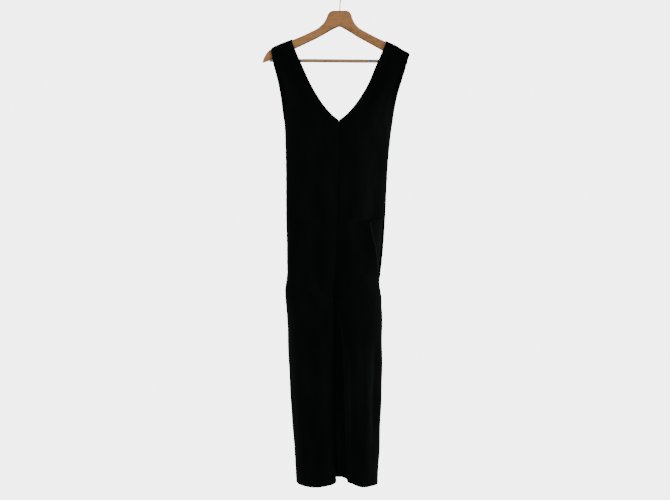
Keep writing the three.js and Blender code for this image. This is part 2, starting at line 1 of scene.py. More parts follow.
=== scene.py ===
import math
import bpy
import numpy as np
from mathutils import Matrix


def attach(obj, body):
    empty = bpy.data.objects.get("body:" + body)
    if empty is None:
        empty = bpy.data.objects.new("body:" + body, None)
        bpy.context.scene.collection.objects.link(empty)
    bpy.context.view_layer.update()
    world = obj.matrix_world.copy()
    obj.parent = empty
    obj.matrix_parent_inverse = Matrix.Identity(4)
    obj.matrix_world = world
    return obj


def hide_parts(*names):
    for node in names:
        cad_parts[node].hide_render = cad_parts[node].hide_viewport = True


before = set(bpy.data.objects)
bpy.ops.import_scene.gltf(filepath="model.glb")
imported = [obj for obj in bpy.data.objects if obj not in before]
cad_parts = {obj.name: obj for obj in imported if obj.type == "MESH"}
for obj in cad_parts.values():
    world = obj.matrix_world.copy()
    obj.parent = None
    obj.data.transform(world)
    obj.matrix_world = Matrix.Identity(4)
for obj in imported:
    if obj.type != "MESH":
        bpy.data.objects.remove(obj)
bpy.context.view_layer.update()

# A sleeveless velvet jumpsuit with a deep V, hung on a wooden clothes hanger.
# Sizes are in millimetres until a mesh is made. The origin is the inside top of the hook, the
# front looks towards -Y and the wearer's left lies towards +X. A drop is measured down from the
# flat top of the hanger's head. Side is 1 on the wearer's left and -1 on the right, and face is
# 1 at the front and -1 at the back.


def table(names, *rows):
    # Columns under their names: one row of numbers for each station.
    return dict(zip(names.split(), np.array(rows, float).T))


def smooth(t):
    # An even rise from 0 to 1 that starts and ends level: 3 t squared less 2 t cubed.
    c = np.clip(t, 0, 1)
    return c * c * (3 - 2 * c)


def bell(t):
    # 1 at nought, falling away on both sides: e to the minus t squared.
    return np.exp(-t * t)


def through(columns, key, value):
    # A cubic through the rows whose slopes never overshoot: the slope at a row is the harmonic
    # mean of the two next to it, and none where they differ in sign.
    x, y = columns[key], columns[value]
    rise = np.diff(y) / np.diff(x)
    slope = np.empty_like(y)
    slope[0], slope[-1] = rise[0], rise[-1]
    both = rise[:-1] * rise[1:] > 0
    total = np.where(both, rise[:-1] + rise[1:], 1)
    slope[1:-1] = np.where(both, 2 * rise[:-1] * rise[1:] / total, 0)

    def curve(at):
        at = np.asarray(at, float)
        i = np.clip(np.searchsorted(x, at, side="right") - 1, 0, len(x) - 2)
        h = x[i + 1] - x[i]
        t = np.clip((at - x[i]) / h, 0, 1)
        t2, t3 = t * t, t ** 3
        return (y[i] * (2 * t3 - 3 * t2 + 1) + slope[i] * h * (t3 - 2 * t2 + t)
                + y[i + 1] * (3 * t2 - 2 * t3) + slope[i + 1] * h * (t3 - t2))
    return curve


# Meshes

def makeMesh(name, points, faces, uv=None):
    # One smooth mesh object from points in millimetres and faces of three or four corners. The
    # uv map "cut" holds a place for each point.
    mesh = bpy.data.meshes.new(name)
    mesh.from_pydata((np.asarray(points) / 1000).tolist(), [], faces)
    mesh.validate()
    mesh.polygons.foreach_set("use_smooth", [True] * len(mesh.polygons))
    if uv is not None:
        layer = mesh.uv_layers.new(name="cut")
        corners = np.empty(len(mesh.loops), int)
        mesh.loops.foreach_get("vertex_index", corners)
        layer.data.foreach_set("uv", np.asarray(uv)[corners].astype(np.float32).ravel())
    mesh.update()
    thing = bpy.data.objects.new(name, mesh)
    bpy.context.scene.collection.objects.link(thing)
    return thing


def ringSkin(rings):
    # Quads from each point of a ring to the next one and to the next ring, and a fan round the
    # middle of the first and of the last ring.
    high, size = len(rings), len(rings[0])
    points = np.concatenate([*rings, [rings[0].mean(0), rings[-1].mean(0)]])
    here = np.arange(size)
    after = (here + 1) % size
    start = np.arange(high - 1)[:, None] * size
    quads = np.stack([start + here, start + after, start + size + after, start + size + here], axis=-1)
    first, last, row = high * size, high * size + 1, (high - 1) * size
    opening = np.stack([np.full(size, first), after, here], axis=1)
    closing = np.stack([np.full(size, last), row + here, row + after], axis=1)
    return points, quads.reshape(-1, 4).tolist() + opening.tolist() + closing.tolist()


def sweep(route, radii, sides):
    # Rings round a route. Each starts from the last ring's direction, made square to the way
    # on, so that the skin doesn't twist.
    ahead = np.gradient(route, axis=0)
    ahead /= np.linalg.norm(ahead, axis=1)[:, None]
    aside = np.cross(ahead[0], [0, 1, 0.01])
    angle = np.linspace(0, 2 * math.pi, sides, endpoint=False)[:, None]
    rings = []
    for point, way, radius in zip(route, ahead, radii):
        aside = aside - way * np.dot(aside, way)
        aside /= np.linalg.norm(aside)
        circle = np.cos(angle) * aside + np.sin(angle) * np.cross(way, aside)
        rings.append(point + radius * circle)
    return rings


def dress(piece, material, node):
    # Gives a piece its material and slot, and lets it stand for its solid.
    piece.data.materials.append(material)
    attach(piece, "root")
    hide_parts(node)
    return piece


# Materials

def newMaterial(name, finish):
    # A Principled material with its finish set on the shader's own sockets.
    material = bpy.data.materials.new(name)
    material.use_nodes = True
    tree = material.node_tree
    shader = next(node for node in tree.nodes if node.type == "BSDF_PRINCIPLED")
    for socket, value in finish.items():
        shader.inputs[socket].default_value = value
    return material, tree, shader


def addNode(tree, kind, sources, **values):
    # A node with its settings and input values, whose other inputs are linked to sources.
    made = tree.nodes.new(kind)
    for key, value in values.items():
        if hasattr(made, key):
            setattr(made, key, value)
        else:
            made.inputs[key].default_value = value
    for key, source in sources.items():
        tree.links.new(source, made.inputs[key])
    return made


def stretched(tree, vector, **values):
    # A vector scaled and turned.
    return addNode(tree, "ShaderNodeMapping", {"Vector": vector}, **values).outputs["Vector"]


def noise(tree, vector, **values):
    # Clouds from 0 to 1 over a vector.
    return addNode(tree, "ShaderNodeTexNoise", {"Vector": vector}, **values).outputs["Fac"]


def ramp(tree, source, *stops):
    # A colour for each value from 0 to 1, between stops of a place and a colour.
    made = addNode(tree, "ShaderNodeValToRGB", {"Fac": source})
    elements = made.color_ramp.elements
    while len(elements) < len(stops):
        elements.new(0.5)
    for element, (place, colour) in zip(elements, stops):
        element.position = place
        element.color = (*colour, 1)
    return made.outputs["Color"]


def multiplied(tree, colour, shade, factor):
    # A colour times a shade, as far as the factor says.
    mix = addNode(tree, "ShaderNodeMix", {"A": colour, "B": shade},
                  data_type="RGBA", blend_type="MULTIPLY", Factor=factor)
    return mix.outputs["Result"]


def roughened(tree, shader, height, **values):
    # The finest relief, as a bump from a height.
    bump = addNode(tree, "ShaderNodeBump", {"Height": height}, **values)
    tree.links.new(bump.outputs["Normal"], shader.inputs["Normal"])


def grey(value):
    # A grey as a colour of three equal parts.
    return (value, value, value)


def tinted(colour, part):
    # A colour times a number.
    return [part * value for value in colour]


velvetLook = {
    "stretch": (1, 0.35, 1),  # the brushed patches are longer down the cloth than across it
    "patches": {"Scale": 14.0, "Detail": 5.0, "Roughness": 0.55},
    "darkest": 0.32,  # the patches' values that are darkest and lightest
    "lightest": 0.68,
    # Shades across the cut, from the seam or inside leg (0) to the side seam (1): a painted highlight,
    # lighter along both long edges and most of all at the side seam.
    "paintedEdgeHighlight": ((0.0, grey(0.6)), (0.010, grey(0.34)), (0.978, grey(0.34)), (0.992, grey(1.0))),
    "brushed": {"Scale": 90.0, "Detail": 4.0, "Roughness": 0.6},
    "pile": {"Scale": 1500.0, "Detail": 2.0, "Roughness": 0.6},
    "brushedPart": 0.5,  # the brushed relief beside the pile's
    "relief": {"Strength": 0.35, "Distance": 0.0004},
    "finish": {"Roughness": 0.9, "Specular IOR Level": 0.0, "Sheen Weight": 0.02,
               "Sheen Roughness": 0.5, "Sheen Tint": (0.85, 0.95, 0.9, 1)},
}


def velvetMaterial(name, colour, lift, cutWidth):
    # Black velvet: a near-black pile, brushed lighter and darker by lift in soft patches along
    # the cloth, with a painted highlight along the two long edges of the cut, a fine nap and a
    # faint sheen where it is seen edge on. The width of the cut is in metres.
    material, tree, shader = newMaterial(name, velvetLook["finish"])
    cut = addNode(tree, "ShaderNodeUVMap", {}, uv_map="cut").outputs["UV"]
    along = stretched(tree, cut, Scale=velvetLook["stretch"])
    patches = noise(tree, along, **velvetLook["patches"])
    pile = ramp(tree, patches, (velvetLook["darkest"], tinted(colour, 1 - lift)),
                (velvetLook["lightest"], tinted(colour, 1 + lift)))
    places = addNode(tree, "ShaderNodeSeparateXYZ", {"Vector": cut})
    across = addNode(tree, "ShaderNodeMath", {0: places.outputs["X"]}, operation="MULTIPLY")
    across.inputs[1].default_value = 1 / cutWidth
    # Painted highlight: the base colour is lighter along the cut's two long edges, most of all along the
    # side seam and the pocket's mouth.
    paintedEdgeHighlight = ramp(tree, across.outputs[0], *velvetLook["paintedEdgeHighlight"])
    tree.links.new(multiplied(tree, pile, paintedEdgeHighlight, 1.0), shader.inputs["Base Color"])
    fine = noise(tree, cut, **velvetLook["pile"])
    brushed = noise(tree, along, **velvetLook["brushed"])
    nap = addNode(tree, "ShaderNodeMath", {0: brushed, 2: fine}, operation="MULTIPLY_ADD")
    nap.inputs[1].default_value = velvetLook["brushedPart"]
    roughened(tree, shader, nap.outputs[0], **velvetLook["relief"])
    return material


woodLook = {
    "stretch": (7, 90, 90),  # the grain runs along the hanger
    "grain": {"Scale": 1.6, "Detail": 7.0, "Roughness": 0.62, "Distortion": 0.5},
    "grainStops": (0.30, 0.52, 0.75),  # the grain's values that are dark, light and lighter
    "lighter": 1.12,
    "fleckStretch": (160, 900, 900),
    "flecks": {"Scale": 1.0, "Detail": 2.0},
    "fleckShades": ((0.28, grey(0.62)), (0.44, grey(1.0))),
    "fleckPart": 0.7,
    "paintedEdgeShadeStops": (0.64, 0.94),  # painted shade on the upper and lower edges: from here it darkens, and here it is full
    "gloss": ((0.3, grey(0.5)), (0.7, grey(0.36))),
    "relief": {"Strength": 0.2, "Distance": 0.0003},
    "finish": {"Coat Weight": 0.2, "Coat Roughness": 0.25},
}


def woodMaterial(name, light, dark, edgeShade=None):
    # Clear-lacquered beech: long grain across the hanger, fine flecks and pores, and, where an
    # edge shade is given, painted shade that darkens the upper and lower edges.
    material, tree, shader = newMaterial(name, woodLook["finish"])
    place = addNode(tree, "ShaderNodeTexCoord", {}).outputs["Object"]
    turned = (0, 0, math.radians(-hanger["turn"]))
    grain = noise(tree, stretched(tree, place, Scale=woodLook["stretch"], Rotation=turned),
                  **woodLook["grain"])
    flecks = noise(tree, stretched(tree, place, Scale=woodLook["fleckStretch"]), **woodLook["flecks"])
    colours = (dark, light, tinted(light, woodLook["lighter"]))
    colour = ramp(tree, grain, *zip(woodLook["grainStops"], colours))
    shade = ramp(tree, flecks, *woodLook["fleckShades"])
    colour = multiplied(tree, colour, shade, woodLook["fleckPart"])
    if edgeShade:
        # Painted shade: the colour is darker towards the arm's upper and lower edges.
        cut = addNode(tree, "ShaderNodeUVMap", {}, uv_map="cut").outputs["UV"]
        nearEdge = addNode(tree, "ShaderNodeSeparateXYZ", {"Vector": cut}).outputs["Y"]
        paintedEdgeShade = ramp(tree, nearEdge, *zip(woodLook["paintedEdgeShadeStops"], (grey(1.0), grey(edgeShade))))
        colour = multiplied(tree, colour, paintedEdgeShade, 1.0)
    tree.links.new(colour, shader.inputs["Base Color"])
    tree.links.new(ramp(tree, grain, *woodLook["gloss"]), shader.inputs["Roughness"])
    roughened(tree, shader, flecks, **woodLook["relief"])
    return material


steelLook = {
    "clouds": {"Scale": 240.0, "Detail": 4.0},
    "stops": (0.3, 0.7),  # the clouds' values that are dull and bright
    "darker": 0.82,  # the dull patches' colour, as a part of the bright one
    "rougher": 0.14,
}


def steelMaterial(name, colour, rough):
    # Plated steel, darker and rougher in small dull patches.
    material, tree, shader = newMaterial(name, {"Metallic": 1.0})
    place = addNode(tree, "ShaderNodeTexCoord", {}).outputs["Object"]
    clouds = noise(tree, place, **steelLook["clouds"])
    shades = (tinted(colour, steelLook["darker"]), colour)
    shade = ramp(tree, clouds, *zip(steelLook["stops"], shades))
    dulled = (grey(rough + steelLook["rougher"]), grey(rough))
    dull = ramp(tree, clouds, *zip(steelLook["stops"], dulled))
    tree.links.new(shade, shader.inputs["Base Color"])
    tree.links.new(dull, shader.inputs["Roughness"])
    return material


# The hanger's bow

hanger = {
    "rise": 80,  # from the head's flat top up to the inside top of the hook
    "turn": -12,  # degrees about the plumb
    "tilt": 2.7,  # degrees that one arm hangs lower
    "reach": 204.5,  # from the middle to a tip
    "bow": 45,  # how far forward a tip stands
    "thick": 12,
    "square": 0.6,  # the lower, the squarer the arm's section
    "slimFrom": 170,  # the arm slims towards its tip
    "slimOver": 50,
    "slimBy": 0.45,
    "towardsTips": 0.92,  # below 1 the rings crowd towards the tips
    "rings": 170,
    "sides": 48,
    "light": (0.44, 0.20, 0.060),
    "dark": (0.285, 0.12, 0.034),
    # the painted shade on the arm's upper and lower edges, as a part of the wood's colour
    "edgeShade": 0.30,
    # The drops of the arm's two edges, by how far out they are.
    "edges": table(
        "out top low",
        (0, 0, 44), (20, 0, 54), (27, 3, 58), (33, 10, 61.5), (38, 24, 64.5), (46, 37, 69.5),
        (60, 50.5, 77.5), (76, 59.8, 86), (98, 71.5, 98), (120, 82.5, 110), (145, 94, 124),
        (170, 106.5, 138), (185, 116.5, 147), (196, 129, 152.5), (202, 142.5, 155.5),
        (204.5, 151, 156.5),
    ),
}
woodTop = through(hanger["edges"], "out", "top")
woodLow = through(hanger["edges"], "out", "low")


def heightOf(drop):
    # Height of a drop in the part's frame: the rise and the drop, down from the origin. It
    # gives the drop of a height as well.
    return -hanger["rise"] - drop


def onHanger(x, y, z):
    # The hanger's own frame to the part's: tilted about the hook, then turned about the plumb.
    tilt, turn = math.radians(hanger["tilt"]), math.radians(hanger["turn"])
    x, y, z = np.broadcast_arrays(np.asarray(x, float), y, z)
    leanX = x * math.cos(tilt) + z * math.sin(tilt)
    leanZ = z * math.cos(tilt) - x * math.sin(tilt)
    return np.stack([leanX * math.cos(turn) - y * math.sin(turn),
                     leanX * math.sin(turn) + y * math.cos(turn), leanZ], axis=-1)


def bowAt(x):
    # How far forward the bowed arm stands, by the square of the way out.
    return -hanger["bow"] * (np.asarray(x, float) / hanger["reach"]) ** 2


def makeHanger(material):
    # The wooden bow: rings across, each a superellipse between the arm's two edges. Its uv map
    # says how far along the bow a point lies and how near the upper or lower edge.
    spread = np.linspace(-1, 1, hanger["rings"])
    crowded = np.sin(np.abs(spread) * math.pi / 2) ** hanger["towardsTips"]
    across = np.sign(spread) * hanger["reach"] * crowded
    angle = np.linspace(0, 2 * math.pi, hanger["sides"], endpoint=False)
    fore = np.sign(np.cos(angle)) * np.abs(np.cos(angle)) ** hanger["square"]
    up = np.sign(np.sin(angle)) * np.abs(np.sin(angle)) ** hanger["square"]
    x = across[:, None]
    out = np.abs(x)
    top, low = heightOf(woodTop(out)), heightOf(woodLow(out))
    slimmed = hanger["slimBy"] * smooth((out - hanger["slimFrom"]) / hanger["slimOver"])
    half = hanger["thick"] / 2 * (1 - slimmed)
    points, faces = ringSkin(onHanger(x, bowAt(x) + half * fore, (top + low) / 2 + (top - low) / 2 * up))
    edge = np.abs(np.sin(angle))
    flat = np.stack([np.repeat(across / 1000, len(edge)), np.tile(edge, len(across))], axis=1)
    flat = np.concatenate([flat, [(flat[0, 0], 0), (flat[-1, 0], 0)]])
    dress(makeMesh("hangerBow", points, faces, uv=flat), material, "hanger_wood")


# The hook

hook = {
    "wire": 4,  # thickness
    "inside": 19,  # inside radius of the crook
    "start": -58,  # where the crook starts and ends, in degrees
    "end": 196,
    "inWood": 17.5,  # how deep the shank goes into the head
    "straight": 18,  # and how far it stands straight above it
    "pull": 12,  # how round the bend from the shank to the crook is
    "shankRings": 14,
    "bendRings": 12,
    "crookRings": 60,
    "sides": 18,
    "domeRadii": (1, 0.93, 0.75, 0.4),  # the rounded end: shares of the wire's radius
    "domePlaces": (0.3, 0.5, 0.6),  # and, from its second ring on, of those steps' length
    "colour": (0.86, 0.85, 0.83),
    "rough": 0.18,
}


def makeHook(material):
    # The wire: a straight shank, a bend on a cubic curve with two handles of the same length,
    # an arc for the crook, and rings that shrink to a domed end.
    angle = np.radians(np.linspace(hook["start"], hook["end"], hook["crookRings"]))
    radius = hook["inside"] + hook["wire"] / 2
    crook = np.stack([radius * np.cos(angle), -hook["inside"] + radius * np.sin(angle)], axis=1)
    up = heightOf(np.linspace(hook["inWood"], -hook["straight"], hook["shankRings"]))
    shank = np.stack([np.zeros_like(up), up], axis=1)
    t = np.linspace(0, 1, hook["bendRings"])[1:-1, None]
    way = np.array([-math.sin(angle[0]), math.cos(angle[0])])
    first, second = shank[-1] + (0, hook["pull"]), crook[0] - way * hook["pull"]
    bend = ((1 - t) ** 3 * shank[-1] + 3 * t * (1 - t) ** 2 * first
            + 3 * t * t * (1 - t) * second + t ** 3 * crook[0])
    flat = np.concatenate([shank, bend, crook])
    route = onHanger(flat[:, 0], 0, flat[:, 1])
    radii = np.full(len(route), hook["wire"] / 2)
    dome = len(hook["domeRadii"])
    radii[-dome:] *= hook["domeRadii"]
    foot, tip = route[-dome].copy(), route[-1].copy()
    route[1 - dome:] = foot + (tip - foot) * np.array(hook["domePlaces"])[:, None]
    points, faces = ringSkin(sweep(route, radii, hook["sides"]))
    dress(makeMesh("hookWire", points, faces), material, "hanger_hook")


# The trouser bar: a wooden rod with a metal sleeve on each end

bar = {
    "drop": 148,  # of its middle line
    "thick": 9.5,
    "dowelHalf": 92,  # half the length of the wooden rod
    "sleeve": 8.8,  # thickness of a metal end
    "sleeveEnd": 187,  # how far out it reaches
    "sleeveGap": 0.3,  # between the rod and a sleeve
    "rolled": 0.5,  # how far the ends' edges are rolled over
    "rollPlaces": (0, 0, 0.3, 1, 1.6),  # rings at an end: places in rolls, and shares of the radius
    "rollRadii": (0.0, 0.80, 0.94, 1, 1),
    "endRadius": 0.01,
    "middleAt": 4,  # the rings between the two ends start so many rolls in
    "rings": 40,
    "sides": 40,
    "light": (0.40, 0.245, 0.115),
    "dark": (0.26, 0.145, 0.062),
    "steel": (0.34, 0.32, 0.30),
    "rough": 0.34,
}


def makeRod(name, low, high, radius, material, slot, node):
    # A turned rod along the hanger's own X axis: circles whose radius shrinks over the last
    # steps, so that the two ends' edges are rolled over.
    places, ends = np.array(bar["rollPlaces"]), np.array(bar["rollRadii"])
    roll = bar["rolled"]
    inset = bar["middleAt"] * roll
    middle = np.linspace(low + inset, high - inset, bar["rings"])
    x = np.concatenate([low + places * roll, middle, high - places[::-1] * roll])[:, None]
    shares = np.concatenate([ends, np.ones(bar["rings"]), ends[::-1]])
    radii = np.maximum(radius * shares, bar["endRadius"])[:, None]
    angle = np.linspace(0, 2 * math.pi, bar["sides"], endpoint=False)
    forward, height = bowAt(bar["sleeveEnd"]), heightOf(bar["drop"])
    points, faces = ringSkin(onHanger(x, forward + radii * np.cos(angle), height + radii * np.sin(angle)))
    dress(makeMesh(name, points, faces), material, node)


# The pocket, with the facing that shows in its mouth

pocket = {
    "top": 582,  # drops of the mouth's two ends
    "end": 750,
    "leftUpper": 86,  # how far in front of the side seam the mouth's edge stands, at either end
    "leftLower": 46,
    "rightUpper": 31,
    "rightLower": 6,
    "ramp": 16,  # length over which the mouth closes
    "rampStep": 1.25,  # and its rows
    "gape": 1.6,  # how far the mouth's edge stands out
    "gapeWide": 9,
    "gapeFrom": 30,  # the mouth's width at which it does so in full
    "under": 12,  # how far the facing goes on behind the panel
    "beyond": 4,  # and past the mouth's two ends
    "behind": 2.2,  # how far it lies behind the panel's wall, and behind it at the side seam
    "atSeam": 0.1,
    "least": 5,  # the least width, where the mouth is closed
    "wall": 1.0,
    "rows": 90,
    "across": 26,
    # the facing's velvet, painted lighter and greyer than the panels' to stand in for light caught in the
    # pocket's mouth
    "colour": (0.0125, 0.0150, 0.0145),
    "lift": 0.2,
    "cutWidth": 0.09,  # the width over which the velvet's shades run, in metres
}


def wordOf(side):
    # The wearer's side as a word.
    return "left" if side > 0 else "right"


def mouthAt(drop, side, face):
    # How far a panel's edge stands in front of the side seam: a slanted line from the pocket's
    # upper to its lower place, closed by a short ramp at either end. A back panel has none.
    upper, lower = pocket[wordOf(side) + "Upper"], pocket[wordOf(side) + "Lower"]
    part = (drop - pocket["top"]) / (pocket["end"] - pocket["top"])
    closed = (smooth((drop - pocket["top"]) / pocket["ramp"])
              * smooth((pocket["end"] - drop) / pocket["ramp"]))
    return np.where(face > 0, (upper + (lower - upper) * np.clip(part, 0, 1)) * closed, 0)


def facingGrid(name, side):
    # The strip behind the pocket's mouth: the front's section moved in by the wall, in equal
    # steps from a little way under the panel, across the open mouth, to the side seam.
    low = np.linspace(pocket["top"] - pocket["beyond"], pocket["end"] + pocket["beyond"], pocket["rows"])
    share = np.tile(np.linspace(0, 1, pocket["across"]), len(low))
    drop = np.repeat(low, pocket["across"])
    whole = sectionPoints(side, 1, drop, np.ones_like(drop), np.zeros_like(drop))
    reach = np.maximum(mouthAt(drop, side, 1), pocket["least"]) + pocket["under"]
    p = sectionPoints(side, 1, drop, 1 - reach * (1 - share) / whole["length"], np.zeros_like(drop))
    fold = foldAt(name, drop, p["fromIn"], p["fromOut"])
    last = share == 1
    nx, ny = np.where(last, side, p["nx"]), np.where(last, 0, p["ny"])
    inward = panel["wall"] + np.where(last, pocket["atSeam"], pocket["behind"])
    points = np.stack([p["x"] + panel["sway"] + fold * p["nx"] - inward * nx,
                       p["y"] + fold * p["ny"] - inward * ny, heightOf(drop)], axis=-1)
    grid = points.reshape(len(low), pocket["across"], 3)
    normals = np.stack([nx, ny, np.zeros_like(nx)], axis=-1).reshape(grid.shape)
    return grid, normals


# The panels: bodice, strap and trouser leg cut in one

panel = {
    "wall": 1.3,
    "gap": 0.04,  # between two panels' walls
    "flat": {"front": (0.215, 1.33), "back": (0.215, 1.34)},  # the cut that shows, in metres
    "colour": (0.0084, 0.0118, 0.0102),
    "lift": 0.3,  # how much darker and lighter the brushed patches are
    "cutWidth": 0.215,  # the width over which the velvet's shades run, in metres
    "across": 66,  # steps across
    "trace": 150,  # steps on which a section's length is measured
    "rowHeight": 5.2,
    "strapTop": 95,  # a strap's mean start, from which its rows are counted
    "crestRows": 9,  # rows over the arm's crest, on an arc of so many degrees
    "crestTurn": 78,
    "tries": 6,  # corrections until a place on the slanted arm is found
    # Drops.
    "join": 200,  # where level rows start
    "point": 316,  # the V's lowest place, front and back
    "backPoint": 330,
    "underarm": 326,
    "crotch": 806.5,
    "crotchRows": (-2, -0.6, 0, 1.5),  # rows close to the crotch
    "end": 1320,
    # How it lies over the arm and passes before the bar.
    "overArm": 10.6,  # radius of the arc over the arm
    "crestLift": 2.6,  # how far the arc's top stands above the wood
    "sway": -5.3,  # how far the whole garment hangs to the wearer's right
    "held": 38,  # how far below the crest it lies on the arm, and over what drop it leaves it
    "heldFront": 150,
    "heldBack": 190,
    "free": 60,  # the last drop above the underarm, over which it comes free in any case
    "overBar": 8.4,  # how far before the bar's middle the front passes, held until so far below
    "belowBar": 12,
    "barFrom": 8,  # how far below the crest it starts to go before the bar, and over what drop
    "barOver": 34,
    "endFrom": 185,  # past here the shoulder goes on straight, at a slope
    "endSlope": 0.55,
    "seamAt": 250,  # above here the neckline goes over to being measured from the middle and
    "seamOver": 100,  # not from the centre seam, within so far
    # The dip down the side, with a ridge beside it. The right one ends at the hip.
    "dipTop": 380,
    "dipFull": 620,
    "dipDepth": 10,
    "dipWide": 26,
    "dipSeam": 1.2,  # the dip and the ridge, as parts of the depth
    "dipRidge": 0.8,
    "ridgeSpread": 2,  # the ridge's width, in dips
    "ridgeInner": 40,  # and the width beside the centre without it
    "rightDipEnd": 690,  # a drop, and within so far
    "rightDipOver": 170,
    # How folds and creases fade in and out, stray, and stay off the seams.
    "foldStart": 0.3,  # parts of a fold's length
    "foldFinish": 0.25,
    "foldAside": 30,  # widths beside a seam
    "creaseAside": 12,
    "centreAside": 8,
    "stray": 0.012,  # part of the width
    "strayTurns": 7,
    "strayShift": 20,
    # A slow and a quick unevenness: sizes, lengths down the cloth and waves across it.
    "slow": 0.55,
    "slowDown": 37,
    "slowAcross": 9,
    "quick": 0.35,
    "quickDown": 19,
    "quickAcross": 11,
    # What sewing does.
    "groove": 0.4,
    "grooveWide": 2.2,
    "pucker": 0.16,
    "puckerWaves": (3.1, 5.3),
    "swell": 0.35,  # beside the groove, so far from the seam
    "swellAt": 7,
    "swellWide": 4,
    "edgeRoll": 0.5,  # along a finished edge
    "rollWide": 5,
    "legFlush": 200,  # below the crotch the inside leg's groove comes back over this drop
    "rim": 0.55,  # how far a free edge is rounded out, in walls
    "tuck": 0.25,  # and a seam's edge, in free edges
    # The hem: how far it sags in the middle, rises at the inside leg and waves.
    "hemFrom": 1180,  # the rows take on its shape below here, over so far
    "hemOver": 140,
    "leftSag": 5,
    "rightSag": 6,
    "sagRound": 0.7,  # the lower, the fuller the sag
    "leftRaised": 19,
    "rightRaised": 0,
    "raisedInner": 0.5,  # the part of the width over which the rise falls away
    "wave": 1.0,
    "waveAcross": 13,
    "hemTurn": 32,  # height of the turned-up hem, its stitched edge's step, and over what drop
    "hemStep": 0.4,
    "hemStepOver": 2.5,
    # Half the neckline's width, and the armholes' distance from the middle.
    "neckline": table(
        "drop half",
        (60, 140), (90, 132.5), (112, 124.5), (135, 115), (157, 105), (180, 95), (202, 85.5),
        (225, 74), (247, 61), (270, 46), (292, 28), (304, 16), (316, 0),
    ),
    "armholes": table(
        "drop left right",
        (60, 226, 207), (100, 209, 194), (121, 200, 189.5), (137, 193, 187), (150, 187.2, 185),
        (167, 181.8, 180.5), (184, 177.5, 176), (202, 172, 171.4), (247, 159.5, 163),
        (292, 151.7, 157.4), (326, 147.5, 153.4),
    ),
    # The centre seam's place, the two side seams', and how square a section is.
    "outline": table(
        "drop seam left right square",
        (60, 1, 250, 246, 2.2), (130, 1, 224, 222, 2.2), (200, 1, 192, 194, 2.3),
        (260, 0, 164, 169, 2.4), (326, -1.5, 147.6, 153.1, 2.5), (380, -3, 141, 151.5, 2.5),
        (450, -4.5, 134.5, 149, 2.5), (582, -6.5, 125, 145.5, 2.6), (674, -9.5, 118.5, 143, 2.7),
        (735, -11.5, 112, 143, 2.8), (766, -12.3, 108.5, 147.5, 2.9), (792, -12.6, 112.5, 151, 3),
        (806.5, -12.6, 114.5, 150.5, 3), (871, -12.6, 116.8, 147, 2.9), (955, -12.6, 115, 144, 2.7),
        (1040, -12.6, 111.5, 140.5, 2.6), (1130, -12.6, 108.5, 135, 2.5),
        (1208, -12.6, 106, 128, 2.4), (1330, -12.6, 103.5, 120.5, 2.3),
    ),
    # Each half's inner end from the centre seam, its half depth and its turn in degrees.
    "halves": table(
        "drop inLeft inRight deepLeft deepRight turnLeft turnRight",
        (60, -90, -90, 26, 26, 0, 0), (130, -80, -80, 32, 32, 0, 0), (200, -72, -72, 44, 44, 0, 0),
        (260, -66, -66, 57, 57, 0, 0), (326, -60, -60, 66, 66, 0, 0), (380, -56, -56, 70, 70, 0, 0),
        (450, -52, -52, 72, 72, 0, 0), (582, -43, -43, 74, 74, 0, 0), (674, -32, -32, 76, 76, 0, 0),
        (735, -19, -19, 76, 76, 0, 0), (766, -10, -10, 74.5, 74.5, 0, 0),
        (792, -3.2, -3.2, 73, 73, 0, 0), (806.5, 0.2, 0.2, 72, 72, 0, 0),
        (871, -1.5, 0, 72, 69, 12, -5), (955, -4.5, 3, 72, 65, 22, -9),
        (1040, -5.5, 3.5, 71, 62, 25, -10), (1130, -4.5, 4, 70, 60, 26, -9),
        (1208, -3.5, 2.5, 69, 59, 27, -7), (1330, 2, -4.2, 68, 58, 27, -3),
    ),
}

